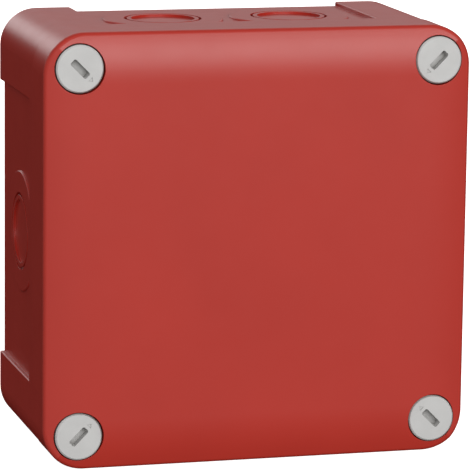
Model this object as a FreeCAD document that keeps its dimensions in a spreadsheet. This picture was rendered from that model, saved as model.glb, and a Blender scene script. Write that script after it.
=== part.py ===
import FreeCAD
import Part
import math
import os
import Sketcher

# Fire-alarm wiring box for surface mounting.
# X is to the right, Z is up and Y runs into the wall. The origin is the centre of the back face.
# "Depth" is always the distance in front of the wall, so a depth d lies at y = -d. Lengths are in mm.

SIZES = (
    # overall
    ("box_width", 105.0, "over the cover, left to right"),
    ("box_height", 105.0, "over the cover, bottom to top"),
    ("base_depth", 40.0, "wall to the parting line"),
    ("cover_depth", 15.0, "parting line to the middle of the crown"),
    # base
    ("overhang", 0.38, "cover edge beyond the base's corner pads"),
    ("base_corner", 9.0, "corner radius of the base"),
    ("panel_recess", 1.1, "side panels behind the corner pads"),
    ("panel_margin", 3.6, "panel beyond the outermost knock-out disc"),
    ("wall", 2.4, "side wall"),
    ("floor", 2.8, "back wall"),
    ("edge_round", 0.4, "broken edges of the mouldings"),
    ("root", 0.5, "how far a raised feature starts inside what it stands on"),
    ("pilot_floor", 1.5, "blind end of the pilot holes in the platform"),
    # knock-outs
    ("disc_drop", 0.6, "discs behind the corner pads"),
    ("knock_rim", 2.3, "disc left at full thickness round the relief behind it"),
    ("knock_pitch", 32.0, "between the pair on the top and on the bottom"),
    ("knock_entry", 9.5, "outer radius of the weakening groove"),
    ("knock_ridge", 8.85, "inner radius of the weakening groove"),
    ("knock_inner", 7.8, "radius of the smaller, recessed entry"),
    ("knock_groove", 0.8, "depth of the groove"),
    ("knock_recess", 0.65, "depth of the smaller entry"),
    # upstand, gasket and the cover's channel
    ("upstand_wall", 1.36, "upstand in front of the parting line"),
    ("upstand_rise", 4.5, "height of the upstand"),
    ("gasket_height", 1.7, "gasket under the closed cover"),
    ("seat_gap", 0.05, "gasket to the upstand"),
    ("slip", 0.4, "between upstand and channel walls"),
    ("rib_wall", 1.2, "inner wall of the channel"),
    ("rib_reach", 2.5, "inner wall below the upstand's rim"),
    ("guide_gap", 0.6, "guides of the cover screws in front of the parting line"),
    # cover
    ("parting_gap", 0.25, "visible line between base and cover"),
    ("cover_corner", 10.0, "corner radius of the cover"),
    ("skirt_wall", 2.1, "cover's side wall"),
    ("cover_plate", 3.2, "cover's front wall"),
    ("crown_margin", 12.0, "width of the sloping border"),
    ("crown_radius", 34.5, "curve of the sloping border"),
    ("crown_edge", 1.2, "rounding between border and skirt"),
    # quarter-turn cover screws
    ("post_margin", 0.8, "corner post to the cover's outer edge"),
    ("head_radius", 5.7, "flat head"),
    ("head_pocket", 6.0, "pocket in the cover"),
    ("head_sink", 0.55, "head face behind the middle of the crown"),
    ("head_height", 2.95, "head without its seal"),
    ("head_bevel", 0.35, "bevel round the head"),
    ("turning_fit", 0.06, "radial play of the shank in the cover"),
    ("lug_width", 2.6, "lugs across"),
    ("lug_height", 1.9, "lugs along the screw"),
    ("lug_play", 0.2, "lugs behind the catch ring"),
    ("tip_reach", 0.6, "shank beyond the lugs"),
    ("tip_bevel", 0.5, "end of the shank"),
    ("catch_depth", 4.0, "catch ring at the mouth of the post"),
    ("catch_play", 0.4, "round the lugs as they pass the ring"),
    ("post_radius", 7.6, "corner posts"),
    ("post_floor", 4.0, "floor of the post"),
    ("wall_hole", 2.25, "hole for a wall screw"),
    ("slot_length", 5.2, "screwdriver slot"),
    ("screw_joint", 0.2, "how far a small screw's shank runs into its head"),
    ("slot_width", 1.8, "screwdriver slot"),
    ("slot_depth", 2.2, "screwdriver slot"),
    ("slot_ramp", 0.3, "sloping ends of the slot"),
    ("mark_gap", 0.55, "slot to the triangular mark"),
    ("mark_length", 0.6, "triangular mark"),
    ("mark_width", 1.5, "triangular mark"),
    ("mark_depth", 0.15, "triangular mark"),
    ("seal_section", 0.6, "O-ring under the head"),
    # terminal block
    ("pole_pitch", 9.5, "between terminals"),
    ("block_width", 18.0, "block along the conductors"),
    ("block_rise", 14.0, "block height"),
    ("platform", 7.0, "depth at which the block sits"),
    ("ear_length", 6.5, "fixing ear"),
    ("ear_rise", 6.0, "fixing ear"),
    ("barrel_width", 5.2, "brass barrel"),
    ("barrel_length", 14.0, "brass barrel"),
    ("barrel_rise", 7.0, "brass barrel"),
    ("barrel_play", 0.2, "barrel in its chamber"),
    ("wire_bore", 1.9, "conductor hole in the barrel"),
    ("wire_funnel", 2.3, "conductor hole in the block"),
    ("clamp_offset", 4.0, "clamp screws from the middle of the block"),
    ("clamp_shank", 1.5, "clamp screw"),
    ("clamp_head", 2.1, "clamp screw head"),
    ("clamp_access", 2.45, "screwdriver hole over a clamp screw"),
    ("clamp_head_rise", 2.0, "clamp screw head"),
    ("clamp_stand", 1.2, "clamp screw head in front of the barrel"),
    ("clamp_bite", 0.4, "clamp screw tip inside the conductor hole"),
    ("clamp_slot", 0.6, "clamp screw"),
    ("divider_width", 1.2, "grooves between the terminals"),
    ("divider_depth", 1.5, "grooves between the terminals"),
    ("fixing_shank", 1.45, "block fixing screw"),
    ("fixing_head", 2.8, "block fixing screw head"),
    ("fixing_head_rise", 1.9, "block fixing screw head"),
    ("fixing_slot", 0.8, "block fixing screw"),
    ("fixing_tip", 2.2, "depth that the block fixing screws reach"),
    ("fixing_play", 0.3, "radial play of the fixing screws in the ears"),
    ("thread_play", 0.05, "radial play of shanks in their holes"),
)
POLES = 5

doc = FreeCAD.newDocument("wiring_box")
sheet = doc.addObject("Spreadsheet::Sheet", "dims")
for row, (alias, size, meaning) in enumerate(SIZES, start=1):
    sheet.set(f"A{row}", alias)
    sheet.set(f"B{row}", str(size))
    sheet.set(f"C{row}", meaning)
    sheet.setAlias(f"B{row}", alias)
doc.recompute()


def dim(text):
    """Write a size formula with bare aliases and get the expression that reads them from the sheet."""
    words = text.replace("(", "( ").replace(")", " )").split()
    names = {alias for alias, size, meaning in SIZES}
    return "(" + " ".join(f"dims.{word}" if word in names else word for word in words) + ")"


def value(expression):
    return float(sheet.evalExpression(expression))


HALF_WIDTH = dim("box_width / 2")
HALF_HEIGHT = dim("box_height / 2")
SCREW_X = dim("box_width / 2 - post_radius - post_margin")
SCREW_Z = dim("box_height / 2 - post_radius - post_margin")
PAD_X = dim("box_width / 2 - overhang")
PAD_Z = dim("box_height / 2 - overhang")
CAVITY_X = dim("box_width / 2 - overhang - panel_recess - wall")
CAVITY_Z = dim("box_height / 2 - overhang - panel_recess - wall")
BOX_DEPTH = dim("base_depth + cover_depth")
RIM = dim("base_depth + upstand_rise")
CHANNEL = dim("base_depth + upstand_rise + seat_gap + gasket_height")
COVER_INSIDE = dim("base_depth + cover_depth - cover_plate")
HEAD_FACE = dim("base_depth + cover_depth - head_sink")
HEAD_BACK = dim("base_depth + cover_depth - head_sink - head_height")
POCKET_FLOOR = dim("base_depth + cover_depth - head_sink - head_height - 2 * seal_section - seat_gap")
CATCH_BACK = dim("base_depth - catch_depth")

# The quarter-turn lock keeps its proportions to the corner post it works in.
POST_BORE = dim("post_radius * 0.75")
LUG_REACH = dim("post_radius * 0.684")
CATCH_MOUTH = dim("post_radius * 0.513")
SHANK = dim("post_radius * 0.46")

# The knock-out discs fill the base's side from near the wall to near the parting line.
KNOCK_DEPTH = dim("base_depth * 0.5325")
KNOCK_DISC = dim("base_depth * 0.37")
KNOCK_RELIEF = dim("base_depth * 0.37 - knock_rim")
PANEL_HALF = dim("knock_pitch / 2 + base_depth * 0.37 + panel_margin")
PANEL_END = dim("base_depth * 0.88")

BLOCK_HALF = dim(f"{POLES} * pole_pitch / 2")
BLOCK_FRONT = dim("platform + block_rise")
FIXING_X = dim(f"{POLES} * pole_pitch / 2 + ear_length / 2")
BARREL_FRONT = dim("platform + barrel_play + barrel_rise")
WIRE_DEPTH = dim("platform + barrel_play + 0.4 * barrel_rise")

CORNERS = (("top_left", -1, 1), ("top_right", 1, 1), ("bottom_left", -1, -1), ("bottom_right", 1, -1))


def new_body(label):
    body = doc.addObject("PartDesign::Body", label)
    body.Label = label
    return body


def origin_plane(body, role):
    return next(plane for plane in body.Origin.OriginFeatures if plane.Role == role)


def new_sketch(body, name, role, offset="0"):
    sketch = body.newObject("Sketcher::SketchObject", name)
    sketch.AttachmentSupport = [(origin_plane(body, role), "")]
    sketch.MapMode = "FlatFace"
    sketch.setExpression("AttachmentOffset.Base.z", offset)
    return sketch


def front_sketch(body, name, depth):
    """A sketch parallel to the wall: x and y are the box's X and Z, its normal points out of the wall."""
    return new_sketch(body, name, "XZ_Plane", depth)


def bind(sketch, kind, places, expression):
    index = sketch.addConstraint(Sketcher.Constraint(kind, *places, value(expression)))
    sketch.setExpression(f"Constraints[{index}]", expression)


def bind_point(sketch, edge, end, x, y):
    bind(sketch, "DistanceX", (-1, 1, edge, end), x)
    bind(sketch, "DistanceY", (-1, 1, edge, end), y)


def join(sketch, edges):
    for edge, following in zip(edges, edges[1:] + edges[:1]):
        sketch.addConstraint(Sketcher.Constraint("Coincident", edge, 2, following, 1))


def polygon(sketch, corners):
    """A closed outline whose corners are pairs of expressions."""
    points = [FreeCAD.Vector(value(x), value(y), 0) for x, y in corners]
    edges = [
        sketch.addGeometry(Part.LineSegment(start, end), False)
        for start, end in zip(points, points[1:] + points[:1])
    ]
    join(sketch, edges)
    for edge, (x, y) in zip(edges, corners):
        bind_point(sketch, edge, 1, x, y)


def box_outline(sketch, x, z, half_x, half_z):
    low_x, high_x = f"{x} - ({half_x})", f"{x} + ({half_x})"
    low_z, high_z = f"{z} - ({half_z})", f"{z} + ({half_z})"
    polygon(sketch, [(low_x, low_z), (high_x, low_z), (high_x, high_z), (low_x, high_z)])


def circle(sketch, x, z, radius):
    centre = FreeCAD.Vector(value(x), value(z), 0)
    edge = sketch.addGeometry(Part.Circle(centre, FreeCAD.Vector(0, 0, 1), value(radius)), False)
    bind_point(sketch, edge, 3, x, z)
    bind(sketch, "Radius", (edge,), radius)


def arc(sketch, x, z, radius, first, last):
    centre = FreeCAD.Vector(value(x), value(z), 0)
    whole = Part.Circle(centre, FreeCAD.Vector(0, 0, 1), value(radius))
    return sketch.addGeometry(Part.ArcOfCircle(whole, math.radians(first), math.radians(last)), False)


def rounded_outline(sketch, half_x, half_z, radius):
    """A rectangle about the origin with four equal rounded corners, drawn anticlockwise."""
    half_x, half_z, radius = f"({half_x})", f"({half_z})", f"({radius})"
    x, z, r = value(half_x), value(half_z), value(radius)
    turns = ((1, 1, 0), (-1, 1, 90), (-1, -1, 180), (1, -1, 270))
    arcs = [
        arc(sketch, f"{sx} * ({half_x} - {radius})", f"{sz} * ({half_z} - {radius})",
            radius, angle, angle + 90)
        for sx, sz, angle in turns
    ]
    ends = (
        ((x - r, z), (r - x, z)),
        ((-x, z - r), (-x, r - z)),
        ((r - x, -z), (x - r, -z)),
        ((x, r - z), (x, z - r)),
    )
    lines = [
        sketch.addGeometry(Part.LineSegment(FreeCAD.Vector(*start, 0), FreeCAD.Vector(*end, 0)), False)
        for start, end in ends
    ]
    for index, (sx, sz, angle) in enumerate(turns):
        following = arcs[(index + 1) % 4]
        sketch.addConstraint(Sketcher.Constraint("Tangent", arcs[index], 2, lines[index], 1))
        sketch.addConstraint(Sketcher.Constraint("Tangent", lines[index], 2, following, 1))
        bind(sketch, "Radius", (arcs[index],), radius)
    bind_point(sketch, arcs[0], 3, f"{half_x} - {radius}", f"{half_z} - {radius}")
    bind_point(sketch, arcs[2], 3, f"{radius} - {half_x}", f"{radius} - {half_z}")


def sealed_outline(sketch, growth):
    """The inside of the sealed space, grown outwards: a rectangle that bends in round the corner posts."""
    half_x, half_z = f"{CAVITY_X} + {growth}", f"{CAVITY_Z} + {growth}"
    radius = f"{dim('post_radius')} - {growth}"
    x, z, r = value(half_x), value(half_z), value(radius)
    screw_x, screw_z = value(SCREW_X), value(SCREW_Z)
    reach_z = math.sqrt(r * r - (x - screw_x) ** 2)
    reach_x = math.sqrt(r * r - (z - screw_z) ** 2)
    low = math.degrees(math.atan2(-reach_z, x - screw_x))
    high = math.degrees(math.atan2(z - screw_z, -reach_x))
    quarter = ((1, 1), (-1, 1), (-1, -1), (1, -1))
    spans = ((high, low + 360), (180 - low, 540 - high), (180 + high, 540 + low), (-low, 360 - high))
    arcs = [
        arc(sketch, f"{sx} * {SCREW_X}", f"{sz} * {SCREW_Z}", radius, *sorted(span))
        for (sx, sz), span in zip(quarter, spans)
    ]
    near_x, near_z = screw_x - reach_x, screw_z - reach_z
    ends = (
        ((near_x, z), (-near_x, z)),
        ((-x, near_z), (-x, -near_z)),
        ((-near_x, -z), (near_x, -z)),
        ((x, -near_z), (x, near_z)),
    )
    lines = [
        sketch.addGeometry(Part.LineSegment(FreeCAD.Vector(*start, 0), FreeCAD.Vector(*end, 0)), False)
        for start, end in ends
    ]
    for index, (sx, sz) in enumerate(quarter):
        here = sketch.Geometry[arcs[index]]
        start = FreeCAD.Vector(*ends[index][0], 0)
        leaves_first = here.StartPoint.distanceToPoint(start) < here.EndPoint.distanceToPoint(start)
        before = lines[(index + 3) % 4]
        sketch.addConstraint(
            Sketcher.Constraint("Coincident", arcs[index], 1 if leaves_first else 2, lines[index], 1))
        sketch.addConstraint(
            Sketcher.Constraint("Coincident", arcs[index], 2 if leaves_first else 1, before, 2))
        bind_point(sketch, arcs[index], 3, f"{sx} * {SCREW_X}", f"{sz} * {SCREW_Z}")
        bind(sketch, "Radius", (arcs[index],), radius)
    bind(sketch, "DistanceY", (-1, 1, lines[0], 1), half_z)
    bind(sketch, "DistanceX", (-1, 1, lines[1], 1), f"-({half_x})")
    bind(sketch, "DistanceY", (-1, 1, lines[2], 1), f"-({half_z})")
    bind(sketch, "DistanceX", (-1, 1, lines[3], 1), half_x)
    for index, kind in enumerate(("Horizontal", "Vertical", "Horizontal", "Vertical")):
        sketch.addConstraint(Sketcher.Constraint(kind, lines[index]))


def pad(body, sketch, length):
    """Raise a sketch towards the front."""
    feature = body.newObject("PartDesign::Pad", sketch.Name + "_pad")
    feature.Profile = sketch
    feature.setExpression("Length", length)
    sketch.Visibility = False
    return feature


def pocket(body, sketch, length):
    """Cut a sketch back towards the wall."""
    feature = body.newObject("PartDesign::Pocket", sketch.Name + "_pocket")
    feature.Profile = sketch
    feature.setExpression("Length", length)
    sketch.Visibility = False
    return feature


def cut_across(body, sketch, length):
    """Cut a sketch to both sides of its plane, length in all."""
    feature = body.newObject("PartDesign::Pocket", sketch.Name + "_pocket")
    feature.Profile = sketch
    feature.SideType = "Symmetric"
    feature.setExpression("Length", length)
    sketch.Visibility = False
    return feature


def place(feature, x, y, z):
    feature.setExpression("Placement.Base.x", x)
    feature.setExpression("Placement.Base.y", y)
    feature.setExpression("Placement.Base.z", z)


def body_cylinder(body, kind, name, radius, height, turn, x, y, z):
    feature = body.newObject(f"PartDesign::{kind}Cylinder", name)
    feature.setExpression("Radius", radius)
    feature.setExpression("Height", height)
    feature.Placement = FreeCAD.Placement(FreeCAD.Vector(), turn)
    place(feature, x, y, z)
    return feature


def round_edges(body, name, radius, chosen):
    """Round the edges of the body's present shape for which chosen(edge) is true."""
    doc.recompute()
    solid = body.Tip
    names = [f"Edge{number}" for number, edge in enumerate(solid.Shape.Edges, start=1) if chosen(edge)]
    feature = body.newObject("PartDesign::Fillet", name)
    feature.Base = (solid, names)
    feature.setExpression("Radius", radius)
    doc.recompute()
    return feature


def near(one, other):
    return abs(one - other) < 0.01


def runs_to_wall(edge):
    """True for a straight edge at right angles to the wall."""
    box = edge.BoundBox
    return box.XLength < 0.01 and box.ZLength < 0.01 and box.YLength > 1


def knock_out(body, name, side, along):
    """One stepped knock-out: a raised disc with a weakening groove and a smaller entry sunk into it."""
    sideways = side in ("left", "right")
    sign = 1 if side in ("top", "right") else -1
    axis = FreeCAD.Vector(sign if sideways else 0, 0, 0 if sideways else sign)
    turn = FreeCAD.Rotation(FreeCAD.Vector(0, 0, 1), axis)
    pad_level = PAD_X if sideways else PAD_Z
    inside = CAVITY_X if sideways else CAVITY_Z

    def drum(kind, part, radius, start, height):
        level = f"{sign} * ({start})"
        x, z = (level, along) if sideways else (along, level)
        body_cylinder(body, kind, f"{name}_{part}", radius, height, turn, x, f"-{KNOCK_DEPTH}", z)

    middle = dim("wall / 2")
    face = f"({pad_level} - {dim('disc_drop')})"
    drum("Additive", "disc", KNOCK_DISC, f"{inside} + {middle}", f"{face} - {inside} - {middle}")
    drum("Subtractive", "relief", KNOCK_RELIEF, f"{inside} - 1", dim("panel_recess - disc_drop + 1"))
    groove = dim("knock_groove")
    drum("Subtractive", "entry", dim("knock_entry"), f"{face} - {groove}", dim("knock_groove + 1"))
    drum("Additive", "ridge", dim("knock_ridge"), f"{face} - {groove}", groove)
    recess = dim("knock_recess")
    drum("Subtractive", "inner", dim("knock_inner"), f"{face} - {recess}", dim("knock_recess + 1"))


def catch_mouth(body, name, screw_x, screw_z, sign_x, sign_z):
    """The opening of a catch ring: a round hole with a slot along the box's diagonal for the lugs."""
    sketch = front_sketch(body, name, dim("base_depth + 1"))
    circle(sketch, screw_x, screw_z, CATCH_MOUTH)
    pocket(body, sketch, dim("catch_depth + 1.5"))
    slot = front_sketch(body, name + "_slot", dim("base_depth + 1"))
    side = sign_x * sign_z
    across = f"(({dim('lug_width / 2 + catch_play')}) / sqrt(2))"
    reach = f"({POST_BORE} / sqrt(2))"
    polygon(slot, [
        (f"{screw_x} + {reach} + {across}", f"{screw_z} + {side} * ({reach} - {across})"),
        (f"{screw_x} + {reach} - {across}", f"{screw_z} + {side} * ({reach} + {across})"),
        (f"{screw_x} - {reach} - {across}", f"{screw_z} - {side} * ({reach} - {across})"),
        (f"{screw_x} - {reach} + {across}", f"{screw_z} - {side} * ({reach} + {across})"),
    ])
    pocket(body, slot, dim("catch_depth + 1.5"))


def make_base():
    body = new_body("base")
    outline = front_sketch(body, "base_outline", "0")
    rounded_outline(outline, PAD_X, PAD_Z, dim("base_corner"))
    pad(body, outline, dim("base_depth"))

    panels = front_sketch(body, "base_panels", PANEL_END)
    recess = dim("panel_recess")
    for sign in (1, -1):
        box_outline(panels, f"{sign} * {PAD_X}", "0", recess, PANEL_HALF)
        box_outline(panels, "0", f"{sign} * {PAD_Z}", PANEL_HALF, recess)
    pocket(body, panels, f"{PANEL_END} + 1")

    pad_half = value(PANEL_HALF)
    pad_x, pad_z = value(PAD_X), value(PAD_Z)

    def pad_step(edge):
        x, z = abs(edge.CenterOfMass.x), abs(edge.CenterOfMass.z)
        outer = near(x, pad_x) and near(z, pad_half) or near(z, pad_z) and near(x, pad_half)
        return runs_to_wall(edge) and outer

    round_edges(body, "base_pad_edges", dim("edge_round"), pad_step)

    upstand = front_sketch(body, "base_upstand", dim("base_depth"))
    sealed_outline(upstand, dim("upstand_wall"))
    pad(body, upstand, dim("upstand_rise"))
    cavity = front_sketch(body, "base_cavity", RIM)
    sealed_outline(cavity, "0")
    pocket(body, cavity, f"{RIM} - {dim('floor')}")

    platform = front_sketch(body, "base_platform", dim("floor - root"))
    box_outline(platform, "0", "0", f"{BLOCK_HALF} + {dim('ear_length')}", dim("block_width / 2"))
    pad(body, platform, dim("platform - floor + root"))
    pilots = front_sketch(body, "base_pilots", dim("platform"))
    for sign in (1, -1):
        circle(pilots, f"{sign} * {FIXING_X}", "0", dim("fixing_shank + thread_play"))
    pocket(body, pilots, dim("platform - pilot_floor"))

    bores = front_sketch(body, "base_post_bores", CATCH_BACK)
    wall_holes = front_sketch(body, "base_wall_holes", dim("post_floor"))
    for name, sign_x, sign_z in CORNERS:
        screw_x, screw_z = f"{sign_x} * {SCREW_X}", f"{sign_z} * {SCREW_Z}"
        catch_mouth(body, "base_catch_" + name, screw_x, screw_z, sign_x, sign_z)
        circle(bores, screw_x, screw_z, POST_BORE)
        circle(wall_holes, screw_x, screw_z, dim("wall_hole"))
    pocket(body, bores, f"{CATCH_BACK} - {dim('post_floor')}")
    pocket(body, wall_holes, dim("post_floor + 1"))

    half_pitch = dim("knock_pitch / 2")
    for side in ("top", "bottom"):
        knock_out(body, f"knock_{side}_left", side, f"-{half_pitch}")
        knock_out(body, f"knock_{side}_right", side, half_pitch)
    for side in ("left", "right"):
        knock_out(body, f"knock_{side}", side, "0")

    disc, drop = value(KNOCK_DISC), value(dim("disc_drop"))

    def disc_rim(edge):
        if not isinstance(edge.Curve, Part.Circle) or not near(edge.Curve.Radius, disc):
            return False
        centre = edge.Curve.Center
        return near(abs(centre.x), pad_x - drop) or near(abs(centre.z), pad_z - drop)

    round_edges(body, "base_disc_edges", dim("edge_round"), disc_rim)
    round_edges(body, "base_back_edge", dim("edge_round"), lambda edge: (
        edge.BoundBox.YLength < 0.01 and near(edge.BoundBox.YMax, 0)
        and max(abs(edge.CenterOfMass.x), abs(edge.CenterOfMass.z)) > value(SCREW_X) + 4))
    return body


def crown_cut(body, name, role, half, upright):
    """Slope two opposite borders of the cover: an arc that leaves the flat middle tangentially.

    The sketch's x and y are the box's X and Y, or its Y and Z where upright is true.
    """
    sketch = new_sketch(body, name, role)
    margin, radius = dim("crown_margin"), dim("crown_radius")
    level, top = f"-({BOX_DEPTH})", f"-({BOX_DEPTH} + 2)"
    hub = f"-({BOX_DEPTH} - {radius})"
    sweep = math.degrees(math.asin((value(margin) + 1) / value(radius)))
    for sign in (1, -1):
        start, end = f"{sign} * ({half} - {margin})", f"{sign} * ({half} + 1)"
        flat_angle = 180 if upright else -90
        turn = -sign * sweep if upright else sign * sweep
        centre = (hub, start) if upright else (start, hub)
        border = arc(sketch, *centre, radius, *sorted((flat_angle, flat_angle + turn)))
        at_flat, at_edge = (1, 2) if turn > 0 else (2, 1)
        edge_level = value(hub) - value(radius) * math.cos(math.radians(sweep))
        path = [(end, edge_level), (end, value(top)), (start, value(top)), (start, value(level))]
        points = [
            FreeCAD.Vector(depth, value(along), 0) if upright else FreeCAD.Vector(value(along), depth, 0)
            for along, depth in path
        ]
        outer, over, inner = (
            sketch.addGeometry(Part.LineSegment(first, last), False)
            for first, last in zip(points, points[1:])
        )
        for one, one_end, other, other_end in (
            (border, at_edge, outer, 1), (outer, 2, over, 1), (over, 2, inner, 1),
            (inner, 2, border, at_flat),
        ):
            sketch.addConstraint(Sketcher.Constraint("Coincident", one, one_end, other, other_end))
        across, deep = ("DistanceY", "DistanceX") if upright else ("DistanceX", "DistanceY")
        bind_point(sketch, border, 3, *centre)
        bind(sketch, "Radius", (border,), radius)
        bind(sketch, across, (-1, 1, border, at_flat), start)
        bind(sketch, across, (-1, 1, outer, 1), end)
        bind(sketch, across, (-1, 1, outer, 2), end)
        bind(sketch, deep, (-1, 1, outer, 2), top)
        bind(sketch, deep, (-1, 1, inner, 1), top)
    return cut_across(body, sketch, dim("2 * box_width + 2 * box_height"))


def make_cover():
    body = new_body("cover")
    skirt_end = dim("base_depth + parting_gap")
    outline = front_sketch(body, "cover_outline", skirt_end)
    rounded_outline(outline, HALF_WIDTH, HALF_HEIGHT, dim("cover_corner"))
    pad(body, outline, dim("cover_depth - parting_gap"))
    crown_cut(body, "cover_crown_x", "XY_Plane", HALF_WIDTH, False)
    crown_cut(body, "cover_crown_z", "YZ_Plane", HALF_HEIGHT, True)

    half_x, half_z = value(HALF_WIDTH), value(HALF_HEIGHT)
    corner = value(dim("cover_corner"))

    def crown_rim(edge):
        if edge.BoundBox.YMax > -value(skirt_end) - 5:
            return False
        middle = edge.valueAt((edge.FirstParameter + edge.LastParameter) / 2)
        past_x, past_z = abs(middle.x) - (half_x - corner), abs(middle.z) - (half_z - corner)
        if past_x > 0 and past_z > 0:
            return near(math.hypot(past_x, past_z), corner)
        return near(abs(middle.x), half_x) or near(abs(middle.z), half_z)

    round_edges(body, "cover_rim", dim("crown_edge"), crown_rim)

    hollow = front_sketch(body, "cover_hollow", COVER_INSIDE)
    inner_x, inner_z = f"({HALF_WIDTH} - {dim('skirt_wall')})", f"({HALF_HEIGHT} - {dim('skirt_wall')})"
    inner_corner = dim("cover_corner - skirt_wall")
    rounded_outline(hollow, inner_x, inner_z, inner_corner)
    pocket(body, hollow, dim("cover_depth - cover_plate + 1"))

    channel = front_sketch(body, "cover_channel", CHANNEL)
    root = dim("root")
    rounded_outline(channel, f"{inner_x} + {root}", f"{inner_z} + {root}", f"{inner_corner} + {root}")
    sealed_outline(channel, f"-({dim('slip + rib_wall')})")
    pad(body, channel, f"{COVER_INSIDE} - {CHANNEL} + {root}")
    rib = front_sketch(body, "cover_rib", f"{RIM} - {dim('rib_reach')}")
    sealed_outline(rib, f"-{dim('slip')}")
    sealed_outline(rib, f"-({dim('slip + rib_wall')})")
    pad(body, rib, f"{COVER_INSIDE} - {RIM} + {dim('rib_reach')} + {root}")

    guides = front_sketch(body, "cover_guides", dim("base_depth + guide_gap"))
    pockets = front_sketch(body, "cover_head_pockets", dim("base_depth + cover_depth + 1"))
    shanks = front_sketch(body, "cover_screw_holes", dim("base_depth + cover_depth + 1"))
    for name, sign_x, sign_z in CORNERS:
        screw_x, screw_z = f"{sign_x} * {SCREW_X}", f"{sign_z} * {SCREW_Z}"
        circle(guides, screw_x, screw_z, dim("post_radius - upstand_wall - slip"))
        circle(pockets, screw_x, screw_z, dim("head_pocket"))
        circle(shanks, screw_x, screw_z, f"{SHANK} + {dim('turning_fit')}")
    pad(body, guides, f"{CHANNEL} - {dim('base_depth + guide_gap')} + {root}")
    pocket(body, pockets, f"{BOX_DEPTH} + 1 - {POCKET_FLOOR}")
    pocket(body, shanks, dim("cover_depth + 2"))
    return body


def make_gasket():
    body = new_body("cover_gasket")
    cord = front_sketch(body, "gasket_cord", f"{RIM} + {dim('seat_gap')}")
    sealed_outline(cord, dim("upstand_wall - 0.1"))
    sealed_outline(cord, "0.1")
    pad(body, cord, dim("gasket_height"))
    return body


def make_cover_screw(name, sign_x, sign_z):
    """A quarter-turn screw, drawn with its slot along +X and then turned so that its mark points inwards."""
    body = new_body("cover_screw_" + name)
    shank, head = SHANK, dim("head_radius")
    lug_front = f"({CATCH_BACK} - {dim('lug_play')})"
    tip = f"({CATCH_BACK} - {dim('lug_play + lug_height + tip_reach')})"
    bevel = dim("head_bevel")
    profile = new_sketch(body, "screw_profile_" + name, "XY_Plane")
    polygon(profile, [
        ("0", f"-{HEAD_FACE}"),
        (f"{head} - {bevel}", f"-{HEAD_FACE}"),
        (head, f"-({HEAD_FACE} - {bevel})"),
        (head, f"-{HEAD_BACK}"),
        (shank, f"-{HEAD_BACK}"),
        (shank, f"-({tip} + {dim('tip_bevel')})"),
        (f"{shank} - {dim('tip_bevel')}", f"-{tip}"),
        ("0", f"-{tip}"),
    ])
    turned = body.newObject("PartDesign::Revolution", "screw_turned_" + name)
    turned.Profile = profile
    turned.ReferenceAxis = (profile, ["V_Axis"])
    turned.Angle = 360

    lugs = front_sketch(body, "screw_lugs_" + name, f"{lug_front} - {dim('lug_height')}")
    box_outline(lugs, "0", "0", LUG_REACH, dim("lug_width / 2"))
    pad(body, lugs, dim("lug_height"))
    round_edges(body, "screw_lug_ends_" + name, dim("lug_width / 2 - 0.3"), lambda edge: (
        runs_to_wall(edge) and near(abs(edge.CenterOfMass.x), value(LUG_REACH))))
    slot = new_sketch(body, "screw_slot_" + name, "XY_Plane")
    slot_floor = f"-({HEAD_FACE} - {dim('slot_depth')})"
    brim, foot = dim("slot_length / 2"), dim("slot_length / 2 - slot_ramp")
    above = f"-({HEAD_FACE} + 1)"
    polygon(slot, [
        (f"-{foot}", slot_floor), (foot, slot_floor), (brim, f"-{HEAD_FACE}"),
        (brim, above), (f"-{brim}", above), (f"-{brim}", f"-{HEAD_FACE}"),
    ])
    cut_across(body, slot, dim("slot_width"))
    mark = front_sketch(body, "screw_mark_" + name, HEAD_FACE)
    near_end, half_mark = dim("slot_length / 2 + mark_gap"), dim("mark_width / 2")
    polygon(mark, [
        (near_end, f"-{half_mark}"), (f"{near_end} + {dim('mark_length')}", "0"), (near_end, half_mark)])
    pocket(body, mark, dim("mark_depth"))
    inward = math.degrees(math.atan2(sign_z, -sign_x))
    body.Placement = FreeCAD.Placement(
        FreeCAD.Vector(), FreeCAD.Rotation(FreeCAD.Vector(0, 1, 0), inward))
    place(body, f"{sign_x} * {SCREW_X}", "0", f"{sign_z} * {SCREW_Z}")
    return body


def make_screw_seal(name, sign_x, sign_z):
    seal = doc.addObject("Part::Torus", "screw_seal_" + name)
    seal.Label = "screw_seal_" + name
    seal.setExpression("Radius1", f"{SHANK} + {dim('seal_section + 0.3')}")
    seal.setExpression("Radius2", dim("seal_section"))
    seal.Placement = FreeCAD.Placement(
        FreeCAD.Vector(), FreeCAD.Rotation(FreeCAD.Vector(1, 0, 0), 90))
    depth = f"{HEAD_BACK} - {dim('seal_section')}"
    place(seal, f"{sign_x} * {SCREW_X}", f"-({depth})", f"{sign_z} * {SCREW_Z}")
    return seal


def pole_centre(pole):
    return f"({pole - (POLES - 1) / 2}) * {dim('pole_pitch')}"


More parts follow.
